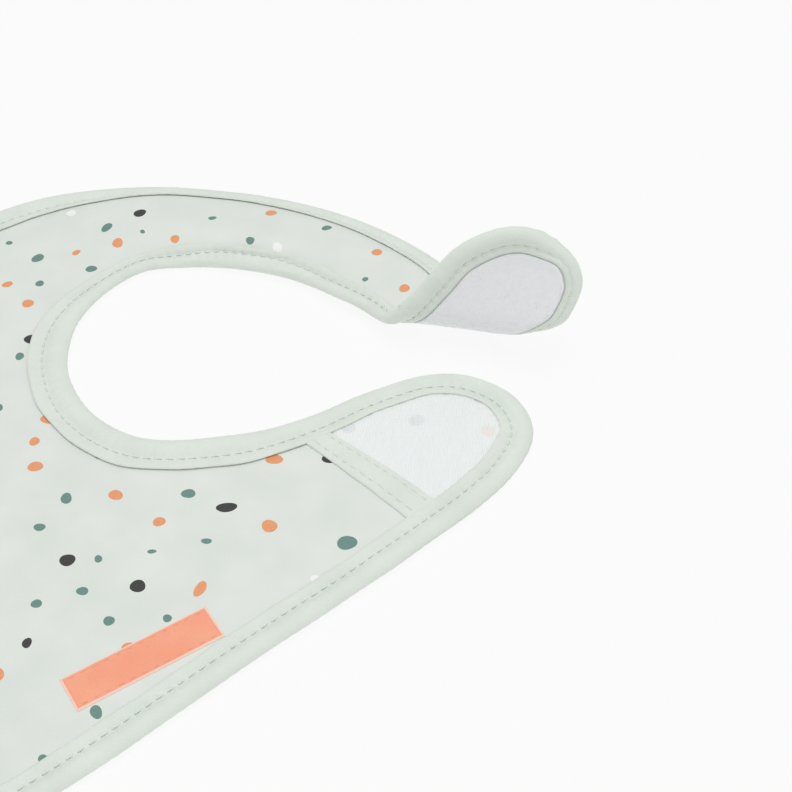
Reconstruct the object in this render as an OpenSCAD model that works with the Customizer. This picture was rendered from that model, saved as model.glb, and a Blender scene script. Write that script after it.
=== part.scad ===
// Baby's wipe-clean bib, lying print side up. Millimetres.
// +Z leaves the printed face, +Y points to the back of the neck and the
// origin is at the middle of the neck opening, on the surface the bib lies on.

/* [Body] */
// From the middle of the neck to the bottom edge
body_length = 215; // [190:1:250]
// From the middle to the side edge, at the widest place
half_width = 111; // [104:1:120]
// Radius of the neck opening
neck_r = 44.5; // [43:0.5:46]
// Radius of the outer edge behind the neck
back_r = 133; // [131:0.5:135]

/* [Cloth] */
// Thickness of the printed cloth, and of the lining
cloth_t = 0.5; // [0.3:0.1:0.8]
// Thickness of the binding tape, flat
tape_t = 0.7; // [0.4:0.1:1.0]
// Height of the binding's rolled edge
edge_h = 3.2; // [2.6:0.1:4.0]
// Width of the binding's rolled edge
edge_w = 6; // [4:0.5:7]
// Width of the whole binding
binding_w = 10.5; // [8.5:0.5:11]
// Width of a row of stitching thread
thread_w = 0.6; // [0.4:0.1:1.0]

/* [Strap] */
// How far the strap slopes up from its flex line
strap_slope = 3.5; // [3.5:0.5:6]
// Turn of the loop tab where the strap's end curls over
curl_angle = 105; // [90:5:120]
// Radius of the curl, on the lining side
curl_r = 8; // [7:0.5:10]

/* [Closure] */
// Thickness of the hook and the loop tape
closure_t = 0.6; // [0.4:0.1:0.6]
// Thickness of the band that ends the hook patch
band_t = 0.8; // [0.4:0.1:1.0]

/* [Label] */
// Width of the side label
label_w = 11.3; // [8:0.1:14]
// Length of the side label
label_l = 42; // [30:1:60]
// Thickness of the side label
label_t = 0.3; // [0.2:0.1:0.5]

/* [Pocket] */
// Height of the crumb pocket, from its bottom seam to its mouth
pocket_h = 56; // [40:1:65]
// Slope of the pocket's front
pocket_slope = 12; // [10:1:20]

/* [Hidden] */

sage = [0.78, 0.83, 0.78];
print_green = [0.87, 0.90, 0.86];
thread_green = [0.72, 0.78, 0.72];
white = [0.94, 0.94, 0.95];
hook_white = [0.91, 0.94, 0.95, 0.8];
orange = [0.99, 0.67, 0.54];

// Heights of the layers above the table
lining_z = tape_t;
cloth_z = lining_z + cloth_t;
top_z = cloth_z + cloth_t;
lip_z = top_z + tape_t;

// Clear gap between pieces that lie side by side
gap = 0.2;
// Steps between two corners of the outline
steps = 6;

// ---- The curl at the strap's end: where it starts, and the way it runs ----
curl_start = [32, 58.5];
curl_dir = 38;
along = [cos(curl_dir), sin(curl_dir)];
ahead = [sin(curl_dir), -cos(curl_dir)];
curl_len = curl_r * curl_angle * PI / 180;

// A place on the line where the curl starts, and on the line where it ends
function curl_in(t) = curl_start + t * along;
function curl_out(t) = curl_start + curl_len * ahead + t * along;

// ---- Outline of the cloth before the strap's end is curled, anticlockwise ----
neck_c = [-3, 1];
back_c = [25, -53];
side_y = body_length - 215;
flex_n = [-42.5, 13];
tip_c = [78, 54.5];
tip_r = 16.8;

// The side from the bottom seam up, for x to the right
side = [[0, -215], [40, -214.6], [74, -210.5], [98, -195], [half_width - 1, -166], [half_width, -115]];
hook_tab = [[107, -50], [105, -10], [98.5, 42], [88.5, 59], [73.5, 64], [59, 58.5], [50.5, 46.5]];
neck_right = [[46, 27], [43.5, 6], [35.5, -16]];
neck_arc = [for (a = [-60 : -30 : -180]) neck_c + neck_r * [cos(a), sin(a)]];
strap_inner = [flex_n, [-32, 26], [-14, 38.5], [5, 45]];
loop_end = concat([[53, 43.5], [66, 38.6]],
    [for (a = [-70 : 35 : 70]) tip_c + tip_r * [cos(a), sin(a)]]);
back_arc = [for (a = [86, 96, 106, 115, 124, 132, 146, 161])
    back_c + (back_r + 0.05 * (a - 86)) * [cos(a), sin(a)]];

function lowered(p) = [p.x, p.y - (p.y < -60 ? side_y : 0)];
function mirrored(p) = [-p.x, p.y];

corners = concat(
    [for (p = side) lowered(p)], hook_tab, neck_right, neck_arc, strap_inner,
    [curl_in(-17), curl_out(0)], loop_end, [curl_out(42), curl_in(31)], back_arc,
    [mirrored([107, -50])], [for (i = [5 : -1 : 1]) mirrored(lowered(side[i]))]);
n_corners = len(corners);

// Numbers of the corners where one stretch of edge ends and the next starts
tab_tip = 10;
flex_in = len(side) + len(hook_tab) + len(neck_right) + len(neck_arc);
curl_in_n = flex_in + len(strap_inner);
curl_out_n = curl_in_n + 1;
curl_out_b = curl_out_n + len(loop_end) + 1;
curl_in_b = curl_out_b + 1;
flex_out = curl_in_b + 6;

// Smooth curve through the corners, which keeps its shape where they crowd
function corner(i) = corners[(i + n_corners) % n_corners];
function root_dist(a, b) = sqrt(norm(b - a));
function slope(a, b, c, ab, bc) = (b - a) / ab - (c - a) / (ab + bc) + (c - b) / bc;
function blend(p, q, m, n, t) =
    (2 * t ^ 3 - 3 * t ^ 2 + 1) * p + (t ^ 3 - 2 * t ^ 2 + t) * m
    + (3 * t ^ 2 - 2 * t ^ 3) * q + (t ^ 3 - t ^ 2) * n;
function span(a, p, q, b, t) =
    let (ap = root_dist(a, p), pq = root_dist(p, q), qb = root_dist(q, b))
    blend(p, q, pq * slope(a, p, q, ap, pq), pq * slope(p, q, b, pq, qb), t);
function edge(u) =
    let (i = floor(u))
    span(corner(i - 1), corner(i), corner(i + 1), corner(i + 2), u - i);

// The point that lies w inside the edge
function inside(u, w) =
    let (d = edge(u + 0.02) - edge(u - 0.02))
    edge(u) + w * [-d.y, d.x] / norm(d);
function run(u0, u1, w) =
    let (n = round((u1 - u0) * steps))
    [for (i = [0 : n]) inside(u0 + (u1 - u0) * i / n, w)];
function back(list) = [for (i = [len(list) - 1 : -1 : 0]) list[i]];

// ---- Ways to place what is drawn flat ----
flex_f = edge(flex_out);
flex_dir = (flex_f - edge(flex_in)) / norm(flex_f - edge(flex_in));
flex_z = edge_h + 0.05;
// The curl as one turn about a line: how far ahead of its start, and how high
axis_ahead = curl_len / 2;
axis_up = curl_r * (1 - curl_angle * PI / 360 / tan(curl_angle / 2));

// Turns the children about a line through p
module turn_about(p, dir, angle) {
    translate(p) rotate(a = angle, v = dir) translate(-p) children();
}

module on_strap() {
    turn_about([flex_n.x, flex_n.y, flex_z], [-flex_dir.x, -flex_dir.y, 0], strap_slope) children();
}

module on_loop_tab() {
    axis_at = curl_start + axis_ahead * ahead;
    on_strap() turn_about([axis_at.x, axis_at.y, axis_up], [-along.x, -along.y, 0], curl_angle) children();
}

// ---- Cuts across the cloth, where one moving body ends and the next starts ----
// Block that starts on the line through p and reaches ahead, the way n points
module ahead_of(p, n, reach, half) {
    translate([p.x, p.y, -edge_h]) rotate(atan2(n.y, n.x)) translate([0, -half, 0])
        cube([reach, 2 * half, 3 * edge_h]);
}

flex_mid = (edge(flex_in) + edge(flex_out)) / 2;
flex_ahead = [flex_dir.y, -flex_dir.x];
flex_half = norm(edge(flex_out) - edge(flex_in));
far = 200;

// Keeps what lies on the body's side of the flex line
module root_side() {
    difference() {
        children();
        ahead_of(flex_mid, flex_ahead, 2 * flex_half, flex_half);
    }
}

// Keeps what lies between the flex line and the start of the curl
module strap_side() {
    difference() {
        children();
        ahead_of(flex_mid, -flex_ahead, far, far);
        ahead_of(curl_start, ahead, far, far);
    }
}

// Keeps what lies past the end of the curl
module tab_side() {
    difference() {
        children();
        ahead_of(curl_out(0), -ahead, far, far);
    }
}

// ---- Shapes that repeat ----
module slab(points, z, t) {
    translate([0, 0, z]) linear_extrude(t) polygon(points);
}

// A strip that follows the edge from u0 to u1, between two distances inside it
module strip(u0, u1, w0, w1, z, t) {
    slab(concat(run(u0, u1, w0), back(run(u0, u1, w1))), z, t);
}

// Binding: a rolled rim, and a lip on the print side and on the back
module binding(u0, u1) {
    rim = 1.2;
    union() {
        strip(u0, u1, 0, rim, 0.6, edge_h - 1.2);
        strip(u0, u1, rim, edge_w, 0, edge_h);
        strip(u0, u1, edge_w, binding_w, 0, tape_t);
        strip(u0, u1, edge_w, binding_w, top_z, tape_t);
    }
}

// Row of stitching in the groove beside the rolled edge
module thread_row(u0, u1) {
    strip(u0, u1, edge_w + gap, edge_w + gap + thread_w, lip_z, 0.3);
}

// Cloth between the bindings: of the body, of the strap and of the loop tab.
// Each is drawn past its ends and cut to its own side of the line.
module body_cloth(z) {
    root_side() slab(run(flex_out - 1, flex_in + 1 + n_corners, edge_w), z, cloth_t);
}

module strap_cloth(z) {
    strap_side() slab(concat(run(flex_in - 1, curl_in_n + 1, edge_w),
        run(curl_in_b - 1, flex_out + 1, edge_w)), z, cloth_t);
}

module tab_cloth(w, z, t) {
    tab_side() slab(run(curl_out_n - 1, curl_out_b + 1, w), z, t);
}

// One corner of the curl's skin: the point p of the flat cloth, h above its back
function curled(p, h) =
    let (q = p - curl_start, s = q * ahead, a = s / curl_len * curl_angle, r = curl_r - h)
    let (flat = curl_start + (q * along) * along + r * sin(a) * ahead)
    [flat.x, flat.y, curl_r - r * cos(a)];

// Length of edge, as a corner count, at which the edge is s past the curl's start
function u_at(s, u, v, n = 24) =
    n == 0 ? u : let (m = (u + v) / 2)
    ((edge(m) - curl_start) * ahead - s) * ((edge(u) - curl_start) * ahead - s) > 0
    ? u_at(s, m, v, n - 1) : u_at(s, u, m, n - 1);

// A piece that follows the curl, w0 inside one edge to w1 inside the other,
// from h0 to h1 above the back. side_a and side_b are stretches of the edge.
module curled_piece(side_a, side_b, w0, w1, h0, h1) {
    rings = 8;
    function ring(s) =
        let (a = u_at(s, side_a[0], side_a[1]), b = u_at(s, side_b[0], side_b[1]))
        let (p = level(a, w0, s), q = level(b, w1, s))
        [curled(p, h0), curled(q, h0), curled(q, h1), curled(p, h1)];
    points = [for (i = [0 : rings]) each ring(curl_len * i / rings)];
    sides = [for (i = [0 : rings - 1], j = [0 : 3])
        let (a = 4 * i + j, b = 4 * i + (j + 1) % 4) each [[a, b, b + 4], [a, b + 4, a + 4]]];
    last = 4 * rings;
    ends = [[2, 1, 0], [3, 2, 0], [last, last + 1, last + 2], [last, last + 2, last + 3]];
    polyhedron(points, concat(ends, sides), convexity = 4);
}

// A point w inside the edge, moved along it to lie s past the curl's start
function level(u, w, s) =
    let (p = inside(u, w), d = edge(u + 0.02) - edge(u - 0.02))
    p + d * (s - (p - curl_start) * ahead) / (d * ahead);

curl_n = [curl_in_n, curl_out_n];
curl_b = [curl_in_b, curl_out_b];

// ---- Body ----
module front_panel() {
    color(print_green) body_cloth(cloth_z);
}

module back_lining() {
    color(print_green) body_cloth(lining_z);
}

module neck_binding() {
    color(sage) root_side() binding(tab_tip, flex_in + 0.5);
}

module outer_binding() {
    color(sage) root_side() binding(flex_out - 0.5, tab_tip + n_corners);
}

module neck_stitching() {
    color(thread_green) root_side() thread_row(tab_tip, flex_in + 0.5);
}

module outer_stitching() {
    color(thread_green) root_side() thread_row(flex_out - 0.5, tab_tip + n_corners);
}

// ---- Hook patch on the shoulder tab, and the band sewn across its lower end ----
patch_w = binding_w + gap;
band_outer = [7.345, 7.52];
band_neck = [13.88, 14.2];

module hook_patch() {
    color(hook_white) slab(run(band_outer[1] + 0.01, band_neck[0] - 0.02, patch_w), top_z, closure_t);
}

module hook_patch_band() {
    color(sage) slab([
        inside(band_outer[0], patch_w), inside(band_outer[1], patch_w),
        inside(band_neck[0], patch_w), inside(band_neck[1], patch_w)], top_z, band_t);
}

// Two rows across the band, at these parts of its width
module band_stitching() {
    function across(f, w) = [
        inside(band_outer[0] + (band_outer[1] - band_outer[0]) * f, w),
        inside(band_neck[1] + (band_neck[0] - band_neck[1]) * f, w)];
    color(thread_green) for (f = [0.3, 0.9]) {
        row = across(f, patch_w + 0.6);
        way = (row[1] - row[0]) / norm(row[1] - row[0]);
        angle = atan2(way.y, way.x);
        translate([row[0].x, row[0].y, top_z + band_t]) rotate(angle) translate([0, -thread_w / 2, 0])
            cube([norm(row[1] - row[0]), thread_w, 0.3]);
    }
}

// ---- Side label, beside the right-hand binding ----
label_u = 5.93;
label_at = inside(label_u, binding_w + 0.6);
label_turn = 4;

module on_label() {
    translate([label_at.x, label_at.y, top_z]) rotate(-label_turn) translate([-label_w, -label_l, 0])
        children();
}

module side_label() {
    color(orange) on_label() cube([label_w, label_l, label_t]);
}

module label_stitching() {
    margin = 1;
    color(orange) on_label() for (x = [margin, label_w - margin - thread_w])
        translate([x, margin, label_t]) cube([thread_w, label_l - 2 * margin, 0.2]);
}

// ---- Crumb pocket at the bottom ----
pocket_seam_y = -203 - side_y;
pocket_w = binding_w + 0.6;
pocket_z = lip_z + 0.3;
mouth_y = pocket_seam_y + pocket_h;

module on_pocket() {
    turn_about([0, pocket_seam_y, pocket_z], [1, 0, 0], pocket_slope) children();
}

// The edge, as a corner count, at height y on the right-hand side
function u_at_y(y, u, v, n = 24) =
    n == 0 ? u : let (m = (u + v) / 2)
    inside(m, pocket_w).y < y ? u_at_y(y, m, v, n - 1) : u_at_y(y, u, m, n - 1);
u_seam = u_at_y(pocket_seam_y + 0.5, 1, 3.5);
u_mouth = u_at_y(mouth_y, 3, 5.5);
pocket_side = run(u_seam, u_mouth, pocket_w);

module pocket_panel() {
    color(print_green) on_pocket()
        slab(concat(pocket_side, back([for (p = pocket_side) mirrored(p)])), pocket_z, cloth_t);
}

// Tape folded over the pocket's mouth
module pocket_mouth_binding() {
    reach = 7;
    x = inside(u_mouth, pocket_w).x;
    color(sage) on_pocket() difference() {
        translate([-x, mouth_y - reach, pocket_z - tape_t]) cube([2 * x, reach + 1.2, cloth_t + 2 * tape_t]);
        translate([-x - 1, mouth_y - reach - 1, pocket_z]) cube([2 * x + 2, reach + 1, cloth_t]);
    }
}

module pocket_stitching() {
    x = inside(u_mouth, pocket_w).x - 2;
    color(thread_green) on_pocket()
        translate([-x, mouth_y - 6, pocket_z + cloth_t + tape_t]) cube([2 * x, thread_w, 0.3]);
}

// Side wall of the pocket, from the printed cloth up to the pocket's front
module pocket_gusset(way) {
    wall = 0.6;
    top = 40;
    out = run(u_seam, u_mouth, pocket_w);
    in = run(u_seam, u_mouth, pocket_w + wall);
    color(print_green) mirror([way < 0 ? 1 : 0, 0, 0]) difference() {
        slab(concat(out, back(in)), top_z, top);
        on_pocket() translate([0, pocket_seam_y - 20, pocket_z - gap])
            cube([2 * half_width, 3 * pocket_h, 2 * top]);
        translate([0, mouth_y - 9, 0]) cube([2 * half_width, 40, 2 * top]);
    }
}

module pocket_gusset_left() {
    pocket_gusset(-1);
}

module pocket_gusset_right() {
    pocket_gusset(1);
}

// ---- Strap, from its flex line to the curl ----
module strap_panel() {
    color(print_green) on_strap() strap_cloth(cloth_z);
}

module strap_lining() {
    color(print_green) on_strap() strap_cloth(lining_z);
}

module strap_neck_binding() {
    color(sage) on_strap() strap_side() binding(flex_in - 0.5, curl_in_n + 1);
}

module strap_back_binding() {
    color(sage) on_strap() strap_side() binding(curl_in_b - 1, flex_out + 0.5);
}

module strap_stitching() {
    color(thread_green) on_strap() strap_side() {
        thread_row(flex_in - 0.5, curl_in_n + 1);
        thread_row(curl_in_b - 1, flex_out + 0.5);
    }
}

// ---- Curl: these pieces bend when the loop tab is peeled or closed ----
module fold_panel() {
    w = edge_w + gap;
    color(print_green) on_strap() curled_piece(curl_n, curl_b, w, w, lining_z, top_z);
}

module fold_neck_binding() {
    color(sage) on_strap() curled_piece(curl_n, curl_n, 0, edge_w, 0, edge_h);
}

module fold_back_binding() {
    color(sage) on_strap() curled_piece(curl_b, curl_b, edge_w, 0, 0, edge_h);
}

module fold_loop_patch() {
    color(white) on_strap()
        curled_piece(curl_n, curl_b, patch_w, patch_w, lining_z - closure_t, lining_z - 0.05);
}

// ---- Loop tab ----
module loop_tab_panel() {
    color(print_green) on_loop_tab() tab_cloth(edge_w, cloth_z, cloth_t);
}

module loop_tab_lining() {
    color(print_green) on_loop_tab() tab_cloth(edge_w, lining_z, cloth_t);
}

module loop_tab_binding() {
    color(sage) on_loop_tab() tab_side() binding(curl_out_n - 1, curl_out_b + 1);
}

module loop_tab_stitching() {
    color(thread_green) on_loop_tab() tab_side() thread_row(curl_out_n - 1, curl_out_b + 1);
}

module loop_patch() {
    color(white) on_loop_tab() tab_cloth(patch_w, lining_z - closure_t, closure_t);
}

front_panel();
back_lining();
neck_binding();
outer_binding();
neck_stitching();
outer_stitching();
hook_patch();
hook_patch_band();
band_stitching();
side_label();
label_stitching();
pocket_gusset_left();
pocket_gusset_right();
pocket_panel();
pocket_mouth_binding();
pocket_stitching();
strap_panel();
strap_lining();
strap_neck_binding();
strap_back_binding();
strap_stitching();
fold_panel();
fold_neck_binding();
fold_back_binding();
fold_loop_patch();
loop_tab_panel();
loop_tab_lining();
loop_tab_binding();
loop_tab_stitching();
loop_patch();
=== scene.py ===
import math

import bmesh
import bpy
import numpy as np
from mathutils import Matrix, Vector
from mathutils.geometry import delaunay_2d_cdt


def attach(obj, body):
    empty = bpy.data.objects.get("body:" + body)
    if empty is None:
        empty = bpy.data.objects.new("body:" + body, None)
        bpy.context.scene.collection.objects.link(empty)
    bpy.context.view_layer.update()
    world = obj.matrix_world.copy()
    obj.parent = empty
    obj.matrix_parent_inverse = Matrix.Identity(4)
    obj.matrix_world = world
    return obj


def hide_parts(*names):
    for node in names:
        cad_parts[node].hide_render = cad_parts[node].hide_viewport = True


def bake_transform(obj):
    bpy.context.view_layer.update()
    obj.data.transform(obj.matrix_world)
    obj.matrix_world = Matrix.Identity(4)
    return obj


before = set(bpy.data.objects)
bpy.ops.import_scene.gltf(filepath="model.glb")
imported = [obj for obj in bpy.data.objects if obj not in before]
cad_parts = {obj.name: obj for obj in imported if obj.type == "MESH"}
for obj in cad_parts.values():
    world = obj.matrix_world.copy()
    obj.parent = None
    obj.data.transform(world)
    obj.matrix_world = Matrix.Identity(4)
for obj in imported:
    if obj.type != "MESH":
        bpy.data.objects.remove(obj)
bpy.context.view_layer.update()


# ---------------- the pattern's outline
def fan(centre, radius, degrees):
    return [(centre[0] + radius * math.cos(math.radians(a)),
             centre[1] + radius * math.sin(math.radians(a))) for a in degrees]


CURL_START = np.array([32.0, 58.5])
ALONG = np.array([math.cos(math.radians(38)), math.sin(math.radians(38))])
AHEAD = np.array([ALONG[1], -ALONG[0]])
CURL_TURN = math.radians(105)
CURL_R = 8.0
CURL_LEN = CURL_R * CURL_TURN


def on_curl(s, t):
    return tuple(CURL_START + s * AHEAD + t * ALONG)


SIDE = [(0, -215), (40, -214.6), (74, -210.5), (98, -195), (110, -166), (111, -115)]
CORNERS = np.array(
    SIDE
    + [(107, -50), (105, -10), (98.5, 42), (88.5, 59), (73.5, 64), (59, 58.5), (50.5, 46.5)]
    + [(46, 27), (43.5, 6), (35.5, -16)]
    + fan((-3, 1), 44.5, range(-60, -181, -30))
    + [(-42.5, 13), (-32, 26), (-14, 38.5), (5, 45)]
    + [on_curl(0, -17), on_curl(CURL_LEN, -4.5), (53, 40), (66, 36.7)]
    + fan((76.5, 56.7), 18.8, range(-70, 71, 35))
    + [on_curl(CURL_LEN, 47.5), on_curl(0, 30.5)]
    + [fan((25, -53), 133 + 0.05 * (a - 86), [a])[0] for a in (86, 96, 106, 115, 124, 132, 146, 161)]
    + [(-107, -50)] + [(-x, y) for x, y in SIDE[:0:-1]], dtype=float)
COUNT = len(CORNERS)
TAB_TIP, FLEX_IN, CURL_N, CURL_B, FLEX_OUT = 10, 21, 25, 35, 41


def edge(u):
    """The outline as a smooth curve through its corners; u counts corners."""
    u = np.atleast_1d(np.asarray(u, float))
    i = np.floor(u).astype(int)
    t = (u - i)[:, None]
    a, p, q, b = (CORNERS[(i + k) % COUNT] for k in (-1, 0, 1, 2))
    ap, pq, qb = (np.sqrt(np.linalg.norm(y - x, axis=1, keepdims=True))
                  for x, y in ((a, p), (p, q), (q, b)))
    m = pq * ((p - a) / ap - (q - a) / (ap + pq) + (q - p) / pq)
    n = pq * ((q - p) / pq - (b - p) / (pq + qb) + (b - q) / qb)
    return ((2 * t**3 - 3 * t**2 + 1) * p + (t**3 - 2 * t**2 + t) * m
            + (3 * t**2 - 2 * t**3) * q + (t**3 - t**2) * n)


def inside(u, w):
    """The point w inside the edge at u."""
    u = np.atleast_1d(np.asarray(u, float))
    d = edge(u + 0.02) - edge(u - 0.02)
    d /= np.linalg.norm(d, axis=1, keepdims=True)
    return edge(u) + np.asarray(w, float).reshape(-1, 1) * np.stack([-d[:, 1], d[:, 0]], 1)


def even(u0, u1, w, pitch):
    """Corner counts from u0 to u1, pitch apart along the line w inside the edge."""
    u = np.linspace(u0, u1, int(abs(u1 - u0) * 60) + 2)
    p = inside(u, w)
    run = np.concatenate([[0], np.cumsum(np.linalg.norm(np.diff(p, axis=0), axis=1))])
    n = max(2, int(round(run[-1] / pitch)))
    return np.interp(np.linspace(0, run[-1], n + 1), run, u), run[-1]


def line_of(u0, u1, w, pitch=1.6):
    return inside(even(u0, u1, w, pitch)[0], w)


FLEX_AT = np.array([-42.5, 13.0])
FLEX_DIR = edge(FLEX_OUT)[0] - FLEX_AT
FLEX_DIR = FLEX_DIR / np.linalg.norm(FLEX_DIR)
FLEX_AHEAD = np.array([FLEX_DIR[1], -FLEX_DIR[0]])
FLEX_Z, FLEX_EASE = 3.25, 6.0
SLOPE = math.tan(math.radians(3.5))
SEAM_D, SEAM_S = -8.0, -10.0  # the body's cloth meets the strap's and the tab's here
LINING_LOW, LINING_HIGH, PRINT_LOW, PRINT_HIGH, ON_TOP = 0.7, 1.2, 1.25, 1.7, 1.72  # above the back
TAPE_WIDE = 10.5


def past_flex(p):
    return (p - FLEX_AT) @ FLEX_AHEAD


def past_curl(p):
    return (p - CURL_START) @ AHEAD


# ---------------- the shape the cloth lies in
def smooth(x):
    x = np.clip(x, 0, 1)
    return x * x * (3 - 2 * x)


def dome(x):
    """Steep at the edge and level inside, as stiff cloth bows."""
    x = np.clip(x, 0, 1)
    return np.sin(np.pi / 2 * x) * (1 - 0.25 * (1 - x) ** 2 * x)


def nearest(p, u0, u1):
    """How far points are from a stretch of the edge, the way from the edge to them, and where."""
    u = even(u0, u1, 0, 2.0)[0]
    q, n = inside(u, 0), inside(u, 1) - inside(u, 0)
    a, d = q[:-1], np.diff(q, axis=0)
    dd = (d * d).sum(1)
    far, way, at_u = np.empty(len(p)), np.empty((len(p), 2)), np.empty(len(p))
    for k in range(0, len(p), 20000):
        v = p[k:k + 20000, None] - a[None]
        t = np.clip((v * d).sum(2) / dd, 0, 1)
        r = v - t[:, :, None] * d
        at = (r ** 2).sum(2)
        i = at.argmin(1)
        rows = np.arange(len(i))
        foot = t[rows, i][:, None]
        inward = n[i] * (1 - foot) + n[i + 1] * foot
        r = r[rows, i]
        gap = np.sqrt(at[rows, i])
        far[k:k + 20000] = gap * np.where(((r * inward).sum(1) < 0) & (gap < 3), -1, 1)
        way[k:k + 20000] = r + 1.2 * inward
        at_u[k:k + 20000] = u[i] + (u[i + 1] - u[i]) * foot[:, 0]
    return far, way / np.linalg.norm(way, axis=1, keepdims=True), at_u


def distance(p, u0, u1):
    return nearest(p, u0, u1)[0]


def waves(p):
    x, y = p[:, 0], p[:, 1]
    return (0.45 + 0.25 * np.sin(x / 19 + 0.6 * np.sin(y / 31)) + 0.2 * np.sin(y / 24 + x / 60 + 1.1))


SHOULDER_HIGH = 2.8


def body_rise(p):
    rise = waves(p) * smooth((60 - p[:, 1]) / 90)
    near = (p[:, 0] > 20) & (p[:, 1] > -45)
    if near.any():
        q = p[near]
        arch = dome(distance(q, TAB_TIP - 0.3, 15.5) / 12.5)
        arch = arch * smooth(distance(q, 5.5, TAB_TIP + 0.3) / 27)
        rise[near] += SHOULDER_HIGH * arch * smooth((q[:, 1] + 22) / 50)
    return rise


BOW_HIGH, BOW_MORE = 5.2, 2.2
TUCK_W, TUCK_TURN, TUCK_IN = 10.0, 2.8, 5.0  # width, turn and depth of the strap's rolled inner edge


def strap_lie(p):
    """How far the strap's cloth shifts in plan, and how high it lies above its plane.

    It bows up between its edges, and its inner edge rolls under.
    """
    d, s = past_flex(p), past_curl(p)
    inner, way, at_u = nearest(p, FLEX_IN - 6, CURL_N + 1)
    outer = distance(p, CURL_B - 1, FLEX_OUT + 2)
    high = BOW_HIGH * smooth((d + 70) / 60) * (1 - 0.8 * smooth((s + 30) / 28))
    roll = smooth((d + 40) / 50) * (1 - smooth((s + 34) / 26)) * smooth(at_u - FLEX_IN + 2)
    high = high + BOW_MORE * roll * (1 - smooth((inner - 9) / 20))
    turn = np.maximum(TUCK_TURN * roll, 1e-3)
    r = TUCK_W / turn
    at = np.clip(1 - inner / TUCK_W, 0, 1) * turn
    plan = TUCK_IN * roll + r * (np.sin(turn) - np.sin(at))
    spare = (TUCK_IN * roll + r * np.sin(turn) - TUCK_W) * (1 - smooth((inner - TUCK_W) / 22))
    shift = np.where(inner < TUCK_W, plan - np.maximum(inner, 0), spare)
    held = 1 - (1 - smooth(3 * roll)) * (1 - dome(inner / 15))
    rise = high * dome(outer / 13) * held - r * (1 - np.cos(at))
    rise += waves(p) * smooth((60 - p[:, 1]) / 90) * (1 - smooth((d + 10) / 30))
    tab_shift, rise_there = tab_lie(p)
    return shift[:, None] * way + tab_shift, rise + rise_there


TAB_TURN, TAB_W, TAB_IN = 1.75, 10.0, 1.1  # the same for the tab's far side
TAB_NEAR, TAB_NEAR_W = -2.2, 14.0  # how low and how wide its near side leans
TAB_FROM, TAB_OVER = 29.4, 2.1  # where its fold starts, in corners, and over how many it grows


def tab_lie(p):
    """The loop tab's far side folds back towards the print, and its near side leans the other way."""
    s = past_curl(p)
    shift, rise = np.zeros((len(p), 2)), np.zeros(len(p))
    tab = s > -4
    if tab.any():
        q, on = p[tab], smooth((s[tab] + 4) / 16)
        far, way, at_u = nearest(q, CURL_N + 1.2, CURL_B + 0.8)
        on = on * smooth((at_u - TAB_FROM) / TAB_OVER)
        turn = np.maximum(TAB_TURN * on, 1e-3)
        r = TAB_W / turn
        at = np.clip(1 - far / TAB_W, 0, 1) * turn
        plan = TAB_IN * on + r * (np.sin(turn) - np.sin(at))
        spare = (TAB_IN * on + r * np.sin(turn) - TAB_W) * (1 - smooth((far - TAB_W) / 13))
        shift[tab] = np.where(far < TAB_W, plan - np.maximum(far, 0), spare)[:, None] * way
        near = distance(q, 26.3, 31)
        lean = TAB_NEAR * (1 - smooth(near / TAB_NEAR_W)) * smooth((s[tab] - 8) / 14)
        rise[tab] = r * (1 - np.cos(at)) + lean
    return shift, rise


EASE = 5.0
CURL_S = np.linspace(-EASE, CURL_LEN + EASE, 400)
CURL_TURNS = CURL_TURN * smooth((CURL_S + EASE) / (CURL_LEN + 2 * EASE))


def run_up(slopes):
    """The running sum of slopes along the curl."""
    return np.concatenate([[0], np.cumsum((slopes[1:] + slopes[:-1]) / 2 * (CURL_S[1] - CURL_S[0]))])


CURL_X = -EASE + run_up(np.cos(CURL_TURNS))
CURL_Z = run_up(np.sin(CURL_TURNS))


def curled(p, h):
    """Flat pattern to the curl at the strap's end: the cloth turns up and back past its start."""
    s, t = past_curl(p), (p - CURL_START) @ ALONG
    turn, x, z = np.interp(s, CURL_S, CURL_TURNS), np.interp(s, CURL_S, CURL_X), np.interp(s, CURL_S, CURL_Z)
    before, after = np.minimum(s + EASE, 0), np.maximum(s - CURL_LEN - EASE, 0)
    x = x + before + after * np.cos(CURL_TURNS[-1]) - h * np.sin(turn)
    z = z + after * np.sin(CURL_TURNS[-1]) + h * np.cos(turn)
    return np.column_stack([CURL_START + x[:, None] * AHEAD + t[:, None] * ALONG, z])


def sloped(v):
    """Strap's slope up from its flex line, eased over a few millimetres."""
    d = past_flex(v[:, :2])
    root = np.sqrt(d * d + FLEX_EASE ** 2)
    turn = np.arctan(SLOPE * (1 + d / root) / 2)
    dz = v[:, 2] - FLEX_Z
    return np.column_stack([v[:, :2] - (dz * np.sin(turn))[:, None] * FLEX_AHEAD,
                            FLEX_Z + SLOPE * (d + root) / 2 + dz * np.cos(turn)])


POCKET_Y, POCKET_Z, POCKET_TURN, MOUTH_Y = -203.0, 2.7, math.radians(12), -147.0
SIDE_IN = 11.1
SIDE_U = np.linspace(1.5, 5.6, 160)
SIDE_LINE = inside(SIDE_U, SIDE_IN)


def side_x(y):
    """Half the pocket's width at height y."""
    up = np.argsort(SIDE_LINE[:, 1])
    return np.interp(y, SIDE_LINE[up, 1], SIDE_LINE[up, 0])


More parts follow.
